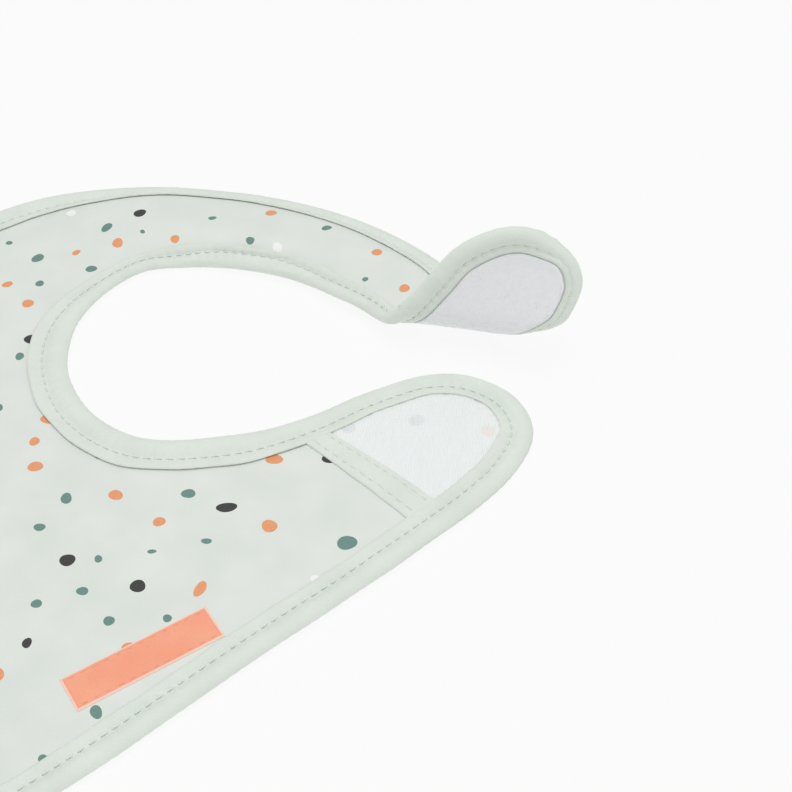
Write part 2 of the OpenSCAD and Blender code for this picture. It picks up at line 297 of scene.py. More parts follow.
def pocket_skin(p, h):
    up = np.maximum(p[:, 1] - POCKET_Y, 0)
    room = np.clip(side_x(p[:, 1]) - np.abs(p[:, 0]), 0, None)
    gape = smooth(room / 26)
    belly = 2.2 * np.sin(np.pi * np.clip(up / 56, 0, 1)) * gape
    sag = 1.4 * smooth(up / 56) * np.cos(p[:, 0] / 34)
    z = 2.35 + 0.35 * gape + up * math.tan(POCKET_TURN) * gape + belly + sag * gape
    return np.column_stack([p[:, 0], p[:, 1] - up * (1 - math.cos(POCKET_TURN)) * gape, z + h])


BOW_X = -5  # left of this, the body takes up the strap's bow


def surface(p, part):
    """Where the back of the cloth lies at rest."""
    if part == "pocket":
        return pocket_skin(p, 0 * p[:, 0])
    if part == "body":
        v = np.column_stack([p, body_rise(p)])
        left = (p[:, 0] < BOW_X) & (past_flex(p) < 0) & (past_flex(p) > -75)
        if left.any():
            shift, rise = strap_lie(p[left])
            bowed = sloped(np.column_stack([p[left] + shift, rise]))
            v[left] += smooth((BOW_X - p[left, :1]) / 25) * (bowed - v[left])
        return v
    shift, rise = strap_lie(p)
    return sloped(curled(p + shift, rise))


def place(p, h, part):
    """Pattern points, h above the back of the cloth, as they lie at rest."""
    p = np.asarray(p, float)
    e = 0.35
    base = surface(p, part)
    tx = surface(p + [e, 0], part) - surface(p - [e, 0], part)
    ty = surface(p + [0, e], part) - surface(p - [0, e], part)
    n = np.cross(tx, ty)
    n /= np.linalg.norm(n, axis=1, keepdims=True)
    return base + np.asarray(h, float).reshape(-1, 1) * n


# ---------------- materials
def rgb(r, g, b):
    return tuple(((c / 255 + 0.055) / 1.055) ** 2.4 for c in (r, g, b)) + (1.0,)


class Nodes:
    """Short ways to add nodes to one material."""

    def __init__(self, name):
        self.mat = bpy.data.materials.new(name)
        self.mat.use_nodes = True
        self.tree = self.mat.node_tree
        self.shader = self.tree.nodes["Principled BSDF"]
        self.out = self.tree.nodes["Material Output"]
        uv = self.add("ShaderNodeUVMap")
        uv.uv_map = "pattern"
        self.uv = uv.outputs[0]

    def add(self, kind, **values):
        node = self.tree.nodes.new(kind)
        for key, value in values.items():
            if key in node.inputs:
                node.inputs[key].default_value = value
            else:
                setattr(node, key, value)
        return node

    def link(self, a, b):
        self.tree.links.new(a, b)

    def noise(self, scale, detail=3.0, rough=0.5):
        n = self.add("ShaderNodeTexNoise", Scale=scale, Detail=detail, Roughness=rough)
        self.link(self.uv, n.inputs["Vector"])
        return n.outputs["Fac"]

    def wave(self, scale, axis="X", distortion=0.0):
        n = self.add("ShaderNodeTexWave", Scale=scale, Distortion=distortion)
        n.bands_direction = axis
        self.link(self.uv, n.inputs["Vector"])
        return n.outputs["Fac"]

    def mix(self, fac, a, b):
        n = self.add("ShaderNodeMix", data_type="RGBA")
        self.put(fac, n.inputs["Factor"])
        self.put(a, n.inputs[6])  # 6, 7 and 2 are the colour sockets
        self.put(b, n.inputs[7])
        return n.outputs[2]

    def math(self, op, a, b=0.0):
        n = self.add("ShaderNodeMath", operation=op)
        self.put(a, n.inputs[0])
        self.put(b, n.inputs[1])
        return n.outputs[0]

    def ramp(self, fac, low, high):
        n = self.add("ShaderNodeMapRange")
        self.put(fac, n.inputs["Value"])
        n.inputs["From Min"].default_value = low
        n.inputs["From Max"].default_value = high
        return n.outputs[0]

    def put(self, value, socket):
        if isinstance(value, bpy.types.NodeSocket):
            self.link(value, socket)
        else:
            socket.default_value = value

    def bump(self, height, distance, strength=1.0, normal=None):
        n = self.add("ShaderNodeBump", Strength=strength, Distance=distance)
        self.link(height, n.inputs["Height"])
        if normal is not None:
            self.link(normal, n.inputs["Normal"])
        return n.outputs[0]

    def finish(self, colour, rough, normal=None, **sockets):
        self.put(colour, self.shader.inputs["Base Color"])
        self.put(rough, self.shader.inputs["Roughness"])
        if normal is not None:
            self.link(normal, self.shader.inputs["Normal"])
        for key, value in sockets.items():
            self.shader.inputs[key.replace("_", " ")].default_value = value
        return self.mat


def fabric(name, light, dark, thread=0.34, depth=0.00003, rough=0.75, sheen=0.25, crease=0.00012):
    """Woven cloth: two sets of threads, soft creases and a little variation in tone."""
    n = Nodes(name)
    weave = n.math("ADD", n.wave(0.314 / thread, "X", 0.6), n.wave(0.314 / thread, "Y", 0.6))
    fine, broad = n.noise(1.9, 4, 0.6), n.noise(0.09, 2)
    tone = n.math("ADD", n.math("MULTIPLY", fine, 0.45), n.math("MULTIPLY", broad, 0.55))
    colour = n.mix(n.ramp(tone, 0.36, 0.64), dark, light)
    normal = n.bump(n.noise(0.42, 3), crease, 0.6)
    normal = n.bump(weave, depth, 0.7, normal)
    normal = n.bump(fine, depth * 1.4, 0.6, normal)
    return n.finish(colour, rough, normal,
                    Sheen_Weight=sheen, Sheen_Roughness=0.5, Specular_IOR_Level=0.3)


def coated(name, light, dark, rough=0.5):
    """Printed coated cloth: matt film over a fine weave."""
    n = Nodes(name)
    fine, broad = n.noise(3.2, 4, 0.6), n.noise(0.06, 2)
    weave = n.math("ADD", n.wave(0.9, "X", 0.4), n.wave(0.9, "Y", 0.4))
    speck = n.ramp(n.noise(5.5, 2), 0.66, 0.74)
    tone = n.math("ADD", n.math("MULTIPLY", fine, 0.4), n.math("MULTIPLY", broad, 0.6))
    colour = n.mix(n.ramp(tone, 0.38, 0.62), dark, light)
    colour = n.mix(n.math("MULTIPLY", speck, 0.12), colour, (1, 1, 1, 1))
    normal = n.bump(n.noise(0.16, 2), 0.0004, 0.35)
    normal = n.bump(weave, 0.00002, 0.5, normal)
    normal = n.bump(fine, 0.00003, 0.5, normal)
    return n.finish(colour, rough, normal, Sheen_Weight=0.08, Specular_IOR_Level=0.35)


def ink(name, light, dark):
    """A printed dot: uneven ink on the same film."""
    n = Nodes(name)
    blotch, fine = n.noise(0.9, 4, 0.65), n.noise(4.5, 3)
    colour = n.mix(n.ramp(blotch, 0.28, 0.72), dark, light)
    normal = n.bump(fine, 0.00003, 0.5)
    return n.finish(colour, 0.55, normal, Specular_IOR_Level=0.35)


def thread_look(name, light, dark):
    """Twisted thread, with painted shade: its darker colour lies in the grooves of the twist, where the bump
    is low.
    """
    n = Nodes(name)
    twist_and_shade = n.wave(1.1, "DIAGONAL", 0.4)
    # Painted shade: the dark colour follows the twist and is darkest where the bump sinks between the plies.
    colour = n.mix(twist_and_shade, dark, light)
    return n.finish(colour, 0.6, n.bump(twist_and_shade, 0.00006, 0.7), Sheen_Weight=0.2, Specular_IOR_Level=0.35)


PRINT = coated("printed_cloth", rgb(229, 234, 228), rgb(221, 228, 221))
LINING = coated("lining_cloth", rgb(228, 233, 228), rgb(219, 226, 220), 0.6)
TAPE = fabric("binding_tape", rgb(229, 236, 228), rgb(220, 229, 219), rough=0.6)
# Each thread's second, darker colour is painted shade for the grooves of its twist.
THREAD = thread_look("sewing_thread", rgb(240, 246, 239), rgb(222, 232, 221))
PALE_THREAD = thread_look("label_thread", rgb(255, 196, 172), rgb(252, 172, 144))
CORAL = fabric("label_cloth", rgb(255, 178, 146), rgb(252, 163, 130), 0.3)
PALE_CORAL = fabric("label_border", rgb(255, 222, 208), rgb(253, 208, 190), 0.3)
INKS = {
    "teal": ink("ink_teal", rgb(115, 149, 142), rgb(102, 138, 130)),
    "orange": ink("ink_orange", rgb(238, 167, 121), rgb(230, 152, 104)),
    "black": ink("ink_black", rgb(68, 69, 68), rgb(56, 57, 56)),
    "white": ink("ink_white", rgb(249, 250, 249), rgb(240, 242, 240)),
}


def hook_look():
    """Moulded nylon hook tape: milky, see-through, with a row of hooks along every rib, and a faint painted
    glow that brightens it.
    """
    n = Nodes("hook_tape")
    row = n.wave(0.62, "Y", 1.2)
    fine = n.noise(2.6, 3)
    colour = n.mix(n.ramp(fine, 0.35, 0.65), rgb(248, 252, 253), rgb(253, 255, 255))
    # The white emission is painted light: a faint glow that brightens the tape, though it is no lamp.
    mat = n.finish(colour, 0.42, n.bump(row, 0.00004, 0.4), Specular_IOR_Level=0.4,
                   Emission_Color=(1, 1, 1, 1), Emission_Strength=0.07)
    clear = n.add("ShaderNodeBsdfTransparent")
    mixer = n.add("ShaderNodeMixShader")
    n.put(0.56, mixer.inputs[0])
    n.link(clear.outputs[0], mixer.inputs[1])
    n.link(n.shader.outputs[0], mixer.inputs[2])
    n.link(mixer.outputs[0], n.out.inputs["Surface"])
    return mat


def pile_look():
    """Brushed loop tape: a soft matt pile."""
    n = Nodes("loop_tape")
    fuzz, clump = n.noise(2.2, 6, 0.75), n.noise(0.5, 3)
    tone = n.math("ADD", n.math("MULTIPLY", fuzz, 0.6), n.math("MULTIPLY", clump, 0.4))
    colour = n.mix(n.ramp(tone, 0.32, 0.68), rgb(236, 236, 239), rgb(243, 243, 245))
    normal = n.bump(fuzz, 0.00004, 0.35)
    return n.finish(colour, 0.95, normal, Sheen_Weight=0.25, Sheen_Roughness=0.6, Specular_IOR_Level=0.1)


HOOK, PILE = hook_look(), pile_look()


# ---------------- meshes
def mesh(name, verts, faces, mats, pattern, mat_index=None, crease=0.7):
    """A piece from points in millimetres. pattern is each point's place on the flat cloth."""
    data = bpy.data.meshes.new(name)
    data.from_pydata((np.asarray(verts) * 0.001).tolist(), [], faces)
    for m in mats if isinstance(mats, (list, tuple)) else [mats]:
        data.materials.append(m)
    if mat_index is not None:
        data.polygons.foreach_set("material_index", np.asarray(mat_index, dtype=np.int32))
    data.polygons.foreach_set("use_smooth", np.ones(len(data.polygons), dtype=bool))
    uv = data.uv_layers.new(name="pattern")
    corner = np.empty(len(data.loops), dtype=np.int32)
    data.loops.foreach_get("vertex_index", corner)
    uv.data.foreach_set("uv", np.asarray(pattern, dtype=np.float32)[corner].ravel())
    obj = bpy.data.objects.new(name, data)
    bpy.context.scene.collection.objects.link(obj)
    if crease:
        bm = bmesh.new()
        bm.from_mesh(data)
        for e in bm.edges:
            if len(e.link_faces) == 2 and e.calc_face_angle(0) > crease:
                e.smooth = False
        bm.to_mesh(data)
        bm.free()
    return obj


def in_polygon(p, poly):
    x, y = p[:, 0], p[:, 1]
    hit = np.zeros(len(p), dtype=bool)
    for (x0, y0), (x1, y1) in zip(poly, np.roll(poly, -1, axis=0)):
        if y0 != y1:
            cross = (y0 > y) != (y1 > y)
            hit ^= cross & (x < (x1 - x0) * (y - y0) / (y1 - y0) + x0)
    return hit


def dot_loop(dot):
    """Outline of one printed dot: an uneven round or teardrop."""
    x, y, w, h, _, turn, lump = dot
    a = np.linspace(0, 2 * np.pi, 28, endpoint=False)
    r = 1 + 0.05 * np.sin(2 * a + lump) + 0.035 * np.sin(3 * a + 2.3 * lump)
    c, s = math.cos(turn), math.sin(turn)
    px, py = r * np.cos(a) * w / 2, r * np.sin(a) * h / 2
    return np.column_stack([x + c * px - s * py, y + s * px + c * py])


def areas(p, tri):
    ab, ac = p[tri[:, 1]] - p[tri[:, 0]], p[tri[:, 2]] - p[tri[:, 0]]
    return (ab[:, 0] * ac[:, 1] - ab[:, 1] * ac[:, 0]) / 2


def triangulate(loops, lines, points, keep):
    """Triangles of the cloth: loops and lines are edges it keeps, points fill it."""
    verts, edges = [], []
    for loop in loops:
        at = len(verts)
        verts += loop.tolist()
        edges += [(at + i, at + (i + 1) % len(loop)) for i in range(len(loop))]
    for line in lines:
        at = len(verts)
        verts += line.tolist()
        edges += [(at + i, at + i + 1) for i in range(len(line) - 1)]
    verts += points.tolist()
    out, _, faces, *_ = delaunay_2d_cdt([Vector(v) for v in verts], edges, [], 0, 1e-4)
    p = np.array([tuple(v) for v in out])
    tri = np.array([tuple(f) for f in faces if len(f) == 3])
    middle = p[tri].mean(1)
    tri = tri[keep(middle)]
    area = areas(p, tri)
    flip = area < 0
    tri[flip] = tri[flip][:, ::-1]
    tri = tri[np.abs(area) > 1e-7]
    used, tri = np.unique(tri, return_inverse=True)
    tri = tri.reshape(-1, 3)
    return p[used], tri


def tube_faces(n, m):
    """Faces of a tube of n rings of m points, with its ends closed."""
    faces = []
    for i in range(n - 1):
        for j in range(m):
            k = (j + 1) % m
            faces.append((i * m + j, i * m + k, (i + 1) * m + k, (i + 1) * m + j))
    return faces + [tuple(range(m - 1, -1, -1)), tuple((n - 1) * m + j for j in range(m))]


def closed(p, tri, part, low, high, name, mats, index=None, crease=0.7):
    """A cloth with its thickness: the triangles from low to high above the back."""
    n = len(p)
    sides = {}
    for a, b, c in tri.tolist():
        for e in ((a, b), (b, c), (c, a)):
            sides[e] = True
    rim = [e for e in sides if (e[1], e[0]) not in sides]
    top, bottom = place(p, high, part), place(p, low, part)
    faces = [tuple(t) for t in tri.tolist()] + [(c + n, b + n, a + n) for a, b, c in tri.tolist()]
    faces += [(b, a, a + n, b + n) for a, b in rim]
    if index is not None:
        index = np.concatenate([index, np.zeros(len(tri) + len(rim), int)])
    return mesh(name, np.vstack([top, bottom]), faces, mats, np.vstack([p, p]), index, crease)


def grid(poly, dx, dy, turn=0.0, margin=0.5):
    """Points in rows inside a polygon, rows turned by an angle."""
    c, s = math.cos(turn), math.sin(turn)
    back = np.array([[c, -s], [s, c]])
    q = poly @ back
    lo, hi = q.min(0), q.max(0)
    gx = np.arange(math.floor(lo[0] / dx) * dx, hi[0], dx)
    gy = np.arange(math.floor(lo[1] / dy) * dy, hi[1], dy)
    g = np.stack(np.meshgrid(gx, gy), -1).reshape(-1, 2) @ back.T
    g = g[in_polygon(g, poly)]
    a, d = poly, np.roll(poly, -1, axis=0) - poly
    dd = (d * d).sum(1) + 1e-12
    keep = []
    for k in range(0, len(g), 8000):
        v = g[k:k + 8000, None] - a[None]
        t = np.clip((v * d).sum(2) / dd, 0, 1)
        keep.append((((v - t[:, :, None] * d) ** 2).sum(2).min(1)) > margin ** 2)
    return g[np.concatenate(keep)]


# ---------------- the print
DICE = np.random.default_rng(20)


SEEN = 0.925  # the turn of the print's long axes where it shows


def dot(x, y, w, h, kind, turn=SEEN):
    return (x, y, w, h, kind, turn, DICE.uniform(0, 6.28))


# The dots that show in the near panel and on the strap, placed to the millimetre
PANEL_DOTS = [dot(*d) for d in (
    (48, -37, 4, 3.5, "teal"), (59, -31, 6, 3.5, "black", SEEN + 0.2), (52, -49, 3.5, 3.5, "orange"),
    (72, -25, 4.5, 4.5, "orange"), (66, -42, 3, 2, "teal"), (60, -56, 2.5, 1.5, "teal"),
    (90, -11, 5.5, 5, "teal"), (79, -52, 3, 5.5, "orange", SEEN - 0.3), (68, -65, 4.5, 4, "black"),
    (95, -25, 3, 2.5, "white"), (52, -10, 5.5, 3.5, "orange"), (62, 3, 4.5, 4, "black"),
    (82, -64, 2.5, 2.5, "teal", 0), (56, 14, 4, 4, "teal"), (66, 32, 5, 4.5, "teal"),
    (81, 47, 4.5, 4, "orange"))]
STRAP_DOTS = [dot(*d) for d in (
    (-70, 15, 4.5, 4, "black"), (-52, 34, 3, 2, "teal"), (-51, 18, 3, 3, "orange"),
    (-61, 11, 2, 1.5, "teal", 0), (-33, 38, 3, 3, "teal"), (-41, 51, 4, 3, "orange"),
    (-24, 43, 3.5, 4, "white"), (-21, 61, 3, 3, "teal"), (1, 66, 3.5, 3, "orange"),
    (19, 63, 3.5, 3, "orange"), (7, 56, 2, 1.5, "teal"))]


def scatter(free, low, high, others):
    """More dots of the same kinds, on a loose grid, where free() says there is room."""
    found = []
    for gy in np.arange(low[1], high[1], 13.5):
        for k, gx in enumerate(np.arange(low[0], high[0], 13.5)):
            x = gx + DICE.uniform(-4, 4) + (6 if int(round(gy / 13.5)) % 2 else 0)
            y = gy + DICE.uniform(-4, 4)
            kind = DICE.choice(["teal", "orange", "black", "white"], p=[0.38, 0.32, 0.14, 0.16])
            w = {"teal": 3.6, "orange": 4.1, "black": 4.9, "white": 3.6}[kind] * DICE.uniform(0.62, 1.3)
            near = [math.hypot(x - o[0], y - o[1]) < 7.5 for o in others + found]
            if DICE.uniform() < 0.88 and not any(near) and free(x, y):
                found.append(dot(x, y, w, w * DICE.uniform(0.72, 1), str(kind), DICE.uniform(0, 3.1)))
    return found


BODY_DOTS = PANEL_DOTS + STRAP_DOTS + scatter(
    lambda x, y: not (x > 36 and y > -68) and not (x < -25 and y > 4), (-115, -215), (115, 70),
    PANEL_DOTS + STRAP_DOTS)
TAB_DOTS = STRAP_DOTS + scatter(lambda x, y: (np.array([x, y]) - CURL_START) @ AHEAD > 2, (20, 20), (110, 80),
                                STRAP_DOTS)
POCKET_DOTS = scatter(lambda x, y: True, (-105, -215), (105, -140), [])


def printed(name, loops, lines, points, keep, part, low, high, dots):
    """A cloth with the print in it: every dot is its own patch of faces."""
    span = loops[0]
    shown = [d for d in dots if in_polygon(dot_loop(d), span).any()]
    rings = [dot_loop(d) for d in shown]
    blank = np.ones(len(points), dtype=bool)
    for d in shown:
        blank &= ((points - [d[0], d[1]]) ** 2).sum(1) > (max(d[2], d[3]) / 2 + 0.35) ** 2
    points = points[blank]
    p, tri = triangulate(list(loops) + rings, lines, points, keep)
    index = np.zeros(len(tri), int)
    middle = p[tri].mean(1)
    kinds = ["teal", "orange", "black", "white"]
    for d, ring in zip(shown, rings):
        index[in_polygon(middle, ring)] = 1 + kinds.index(d[4])
    mats = [PRINT] + [INKS[k] for k in kinds]
    return closed(p, tri, part, low, high, name, mats, index), p, tri


# ---------------- seams between moving bodies
def first(u0, u1, test):
    """Where along the edge from u0 to u1 the test first holds."""
    u = np.linspace(u0, u1, 600)
    return float(u[np.argmax(test(u))])


def both(u):
    """The tape's two edges."""
    return inside(u, 0), inside(u, TAPE_WIDE)


U_IN = first(FLEX_IN + 1, FLEX_IN - 2, lambda u: np.maximum(*map(past_flex, both(u))) < -6)
U_OUT = first(FLEX_OUT - 1, FLEX_OUT + 2, lambda u: np.maximum(*map(past_flex, both(u))) < -6)
U_N = first(CURL_N + 0.5, CURL_N - 2, lambda u: np.maximum(*map(past_curl, both(u))) < -6)
U_B = first(CURL_B - 0.5, CURL_B + 2, lambda u: np.maximum(*map(past_curl, both(u))) < -6)


def cross_line(at, way, half, pitch=1.6):
    t = np.arange(-half, half + pitch, pitch)
    return at + t[:, None] * way


FLEX_SEAM = cross_line(FLEX_AT + SEAM_D * FLEX_AHEAD + 30 * FLEX_DIR, FLEX_DIR, 52)
CURL_SEAM = cross_line(CURL_START + SEAM_S * AHEAD, ALONG, 60)
HIDE = 7.0


# ---------------- cloth
def body_cloth():
    loop = line_of(FLEX_OUT - 1, FLEX_IN + 1 + COUNT, HIDE, 1.6)
    points = grid(loop, 2.1, 2.1)
    points = points[np.abs(past_flex(points) - SEAM_D) > 0.8]

    def keep(m):
        return in_polygon(m, loop) & ((past_flex(m) < SEAM_D) | (m[:, 0] > 0) | (m[:, 1] < -20))
    return [loop], [FLEX_SEAM], points, keep


def strap_cloth():
    loop = np.vstack([line_of(FLEX_IN - 1.5, CURL_N + 0.9, HIDE),
                      line_of(CURL_B - 0.9, FLEX_OUT + 1.5, HIDE)])
    points = grid(loop, 1.6, 1.6)
    points = points[(np.abs(past_flex(points) - SEAM_D) > 0.7) & (np.abs(past_curl(points) - SEAM_S) > 0.7)]

    def keep(m):
        return in_polygon(m, loop) & (past_flex(m) > SEAM_D) & (past_curl(m) < SEAM_S)
    return [loop], [FLEX_SEAM, CURL_SEAM], points, keep


def tab_cloth():
    loop = line_of(CURL_N - 1.5, CURL_B + 1.0, HIDE, 1.2)
    points = grid(loop, 2.0, 1.1, math.radians(38))
    points = points[np.abs(past_curl(points) - SEAM_S) > 0.6]

    def keep(m):
        return in_polygon(m, loop) & (past_curl(m) > SEAM_S)
    return [loop], [CURL_SEAM], points, keep


def fit_out(obj, where, slot, *nodes):
    """Puts a piece on the body, or else bakes its transform into its points, and hides the CAD nodes it
    stands for.
    """
    if where == "body":
        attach(obj, "body")
    else:
        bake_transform(obj)
    if nodes:
        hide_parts(*nodes)
    return obj


for where, cut, nodes, dots in (
        ("body", body_cloth(), (["front_panel"], ["back_lining"]), BODY_DOTS),
        ("strap", strap_cloth(), (["strap_panel"], ["strap_lining"]), STRAP_DOTS),
        ("tab", tab_cloth(), (["fold_panel", "loop_tab_panel"], ["loop_tab_lining"]), TAB_DOTS)):
    part = "body" if where == "body" else "strap"
    front, *_ = printed(f"{where}_printed_cloth", *cut, part, PRINT_LOW, PRINT_HIGH, dots)
    q, tri_q = triangulate(*cut)
    back = closed(q, tri_q, part, LINING_LOW, LINING_HIGH, f"{where}_lining_cloth", [LINING])
    for obj, covers, slot in ((front, nodes[0], "printed_cloth"), (back, nodes[1], "lining_cloth")):
        fit_out(obj, where, slot, *covers)


# ---------------- binding tape and its stitches
PITCH = 3.3
GROOVE = 6.8
PROFILE = np.array([
    (10.45, 1.74), (10.56, 2.08), (10.32, 2.36), (9.7, 2.44), (9.0, 2.43), (8.3, 2.34), (7.7, 2.16),
    (7.2, 1.98), (6.8, 1.90), (6.4, 1.98), (5.95, 2.26), (5.35, 2.70), (4.6, 3.08), (3.7, 3.33),
    (2.8, 3.38), (1.9, 3.20), (1.1, 2.82), (0.45, 2.28), (0.05, 1.68), (0.3, 1.05), (0.95, 0.5),
    (1.9, 0.14), (3.0, 0.0), (4.4, 0.02), (5.7, 0.16), (6.8, 0.34), (7.7, 0.14), (8.9, 0.02),
    (10.1, 0.06), (10.5, 0.3), (10.45, 0.66), (7.2, 0.7), (6.95, 1.2), (7.2, 1.72)])


# The same tape where it hangs free: a round roll below too, and a shorter lip on the back
FREE = PROFILE.copy()
FREE[19:31] = [(0.25, 0.85), (0.8, 0.1), (1.7, -0.45), (2.8, -0.72), (4.0, -0.62), (5.0, -0.2), (5.9, 0.36),
               (6.5, 0.12), (7.2, -0.06), (7.9, -0.02), (8.35, 0.3), (8.4, 0.66)]


def wander(s, seed, scale):
    """Slow, even unevenness along a seam."""
    dice = np.random.default_rng(seed)
    out = np.zeros_like(s)
    for k in range(5):
        out += np.sin(2 * np.pi * s / (scale * dice.uniform(0.45, 1.6)) + dice.uniform(0, 6.28)) / 5
    return out


def looseness(u, where):
    """0 where the binding lies on the table, 1 where it hangs free."""
    return np.zeros(len(u)) if where == "body" else smooth(past_flex(inside(u, 5)) / 45)


def breadth(u):
    """The tape is sewn a little wider round the front of the neck, and narrower along the strap."""
    v = u % COUNT
    wide = smooth((v - 13.8) / 1.4) * (1 - smooth((v - 18.2) / 1.6))
    narrow = smooth((v - 18.2) / 1.6) * (1 - smooth((v - 25.0) / 1.2))
    back = smooth((v - 34.6) / 1.6) * (1 - smooth((v - 41.5) / 1.6))
    return 1 + 0.17 * wide - 0.3 * narrow - 0.25 * back


def lip_gap(u, where):
    """How far the lip stands off the cloth: pressed flat on the outer side."""
    v = u % COUNT
    if where != "body":
        return 0.04 + 0.28 * smooth((v - 27) / 6)
    round_neck = 1 - 0.9 * smooth((v - 18.4) / 1.6) * (v < 30)
    return 0.05 + 0.27 * smooth(v - 9.0) * (1 - smooth(v - 44)) * round_neck


def binding(name, u0, u1, part, where, nodes, seed):
    u, length = even(u0, u1, GROOVE, 0.55)
    s = np.linspace(0, length, len(u))
    beat = np.cos(2 * np.pi * s / PITCH)
    strength = 0.8 + 0.6 * wander(s, seed, 21)
    free = looseness(u, where)[:, None]
    w, h = (PROFILE[None, :, k] * (1 - free) + FREE[None, :, k] * free for k in (0, 1))
    top = (PROFILE[:, 1] > 1.71)[None] & (PROFILE[:, 0] > 0.4)[None]
    under = (np.arange(len(PROFILE)) > 18)[None] & (np.arange(len(PROFILE)) < 31)[None]
    at_groove = np.exp(-((w - GROOVE) / 1.3) ** 2) * top
    on_roll = np.exp(-((w - 4.5) / 1.6) ** 2) * top
    on_lip = np.exp(-((w - 9.2) / 1.2) ** 2) * top
    below = np.exp(-((w - 5.9) / 1.3) ** 2) * under * free
    ends = np.clip(np.minimum(s, length - s) / 6, 0, 1)
    push = (ends * strength * beat)[:, None]
    h = h + push * (0.12 * at_groove + 0.15 * on_roll - 0.09 * on_lip - 0.16 * below)
    h = h + (ends * wander(s, seed + 1, 9))[:, None] * (0.16 * on_roll + 0.14 * on_lip)
    h = h + lip_gap(u, where)[:, None] * smooth((w - 8.0) / 2.2) * top
    w = w + (ends * 0.28 * wander(s, seed + 2, 34))[:, None] * (w > 8.8) * top
    w = w + (ends * (0.22 * wander(s, seed + 3, 26) + 0.06 * strength * beat))[:, None] * (w < 2.5)
    w = w * breadth(u)[:, None]
    m = PROFILE.shape[0]
    p = inside(np.repeat(u, m), w.ravel())
    verts = place(p, h.ravel(), part)
    faces = tube_faces(len(u), m)
    tape = np.column_stack([np.repeat(s, m), np.tile(np.cumsum(np.concatenate(
        [[0], np.linalg.norm(np.diff(PROFILE, axis=0), axis=1)])), len(u))])
    return fit_out(mesh(name, verts, faces, TAPE, tape, crease=0.95), where, "binding_tape", *nodes)


def stitch_row(name, paths, part, where, nodes, mat, slot, radius=0.27, share=0.72):
    """Rows of short stitches. A path is a seam's points, heights, sideways directions and lengths."""
    verts, faces, tape = [], [], []
    ring = np.linspace(0, 2 * np.pi, 7)[:-1]
    for p, h, side, run in paths:
        bow_way = -1 if h.mean() < 0.5 else 1  # a low row is on the underside
        n = int(run[-1] / PITCH)
        pitch = run[-1] / max(n, 1)
        for k in range(n):
            t = np.linspace(0, 1, 7)
            s = (k + 0.5 + (t - 0.5) * share) * pitch
            c = np.column_stack([np.interp(s, run, p[:, i]) for i in (0, 1)])
            across = np.column_stack([np.interp(s, run, side[:, i]) for i in (0, 1)])
            bow = np.sin(np.pi * t)
            r = radius * (0.35 + 0.65 * bow ** 0.5)
            base = np.interp(s, run, h) + bow_way * (0.24 * bow ** 0.7 - 0.12)
            at = len(verts)
            for i in range(7):
                for a in ring:
                    verts.append((*(c[i] + across[i] * r[i] * math.cos(a)), base[i] + r[i] * math.sin(a)))
                    tape.append((s[i] * 2, a * 0.3))
            for i in range(6):
                for j in range(6):
                    a, b = at + 6 * i + j, at + 6 * i + (j + 1) % 6
                    faces.append((a, b, b + 6, a + 6))
            faces += [tuple(at + j for j in range(5, -1, -1)), tuple(at + 36 + j for j in range(6))]
    v = np.array(verts)
    obj = mesh(name, place(v[:, :2], v[:, 2], part), faces, mat, np.array(tape), crease=0)
    return fit_out(obj, where, slot, *nodes)


def seam_path(u0, u1, where, below=False):
    """A row that follows the binding's groove, for stitch_row."""
    u, length = even(u0, u1, GROOVE, 0.8)
    free = looseness(u, where)
    w = (GROOVE - (0.9 * free if below else 0)) * breadth(u)
    p = inside(u, w)
    side = inside(u, w + 1) - p
    v = u % COUNT
    h = 0.2 + 0.05 * free if below else 2.05 - 0.25 * smooth((v - 33) / 3) * smooth((45 - v) / 3)
    return p, h, side * (-1 if below else 1), np.linspace(0, length, len(u))


def straight_path(a, b, h):
    a, b = np.asarray(a, float), np.asarray(b, float)
    n = max(3, int(np.linalg.norm(b - a)))
    t = np.linspace(0, 1, n)[:, None]
    way = (b - a) / np.linalg.norm(b - a)
    side = np.repeat([[-way[1], way[0]]], n, 0)
    return a + (b - a) * t, np.full(n, float(h)), side, np.linspace(0, np.linalg.norm(b - a), n)


def bound(name, u0, u1, part, where, tape_nodes, thread_nodes, seed):
    tape = binding(f"{name}_edge_tape", u0, u1, part, where, tape_nodes, seed)
    rows = [seam_path(u0, u1, where), seam_path(u0, u1, where, True)]
    thread = stitch_row(f"{name}_stitches", rows, part, where, thread_nodes, THREAD, "thread")
    return tape, thread


TAPES = {
    "body": bound("body", U_OUT, U_IN + COUNT, "body", "body", ["neck_binding", "outer_binding"],
                  ["neck_stitching", "outer_stitching"], 3),
    "strap_neck": bound("strap_neck", U_IN, U_N, "strap", "strap", ["strap_neck_binding"], [], 11),
    "strap_back": bound("strap_back", U_B, U_OUT, "strap", "strap", ["strap_back_binding"],
                        ["strap_stitching"], 17),
    "tab": bound("tab", U_N, U_B, "strap", "tab",
                 ["fold_neck_binding", "fold_back_binding", "loop_tab_binding"], ["loop_tab_stitching"], 23),
}


# ---------------- closure
RIB_WAY = np.array([-0.67, 0.742])
RIB_SIDE = np.array([RIB_WAY[1], -RIB_WAY[0]])
RIB_PITCH, RIB_HIGH = 0.87, 0.12
BAND_OUT, BAND_IN = (7.345, 7.52), (13.82, 14.13)


def hook_patch():
    loop = line_of(7.40, 14.0, 9.9, 1.0)
    points = grid(loop, RIB_PITCH / 8, 2.2, math.atan2(RIB_SIDE[1], RIB_SIDE[0]), 0.06)
    p, tri = triangulate([loop], [], points, lambda m: in_polygon(m, loop))
    ribs = 0.5 + 0.5 * np.cos(2 * np.pi * (p @ RIB_SIDE / RIB_PITCH))
    obj = closed(p, tri, "body", ON_TOP, 2.0 + RIB_HIGH * ribs, "hook_patch_tape", [HOOK], crease=0)
    return fit_out(obj, "body", "hook_tape", "hook_patch")


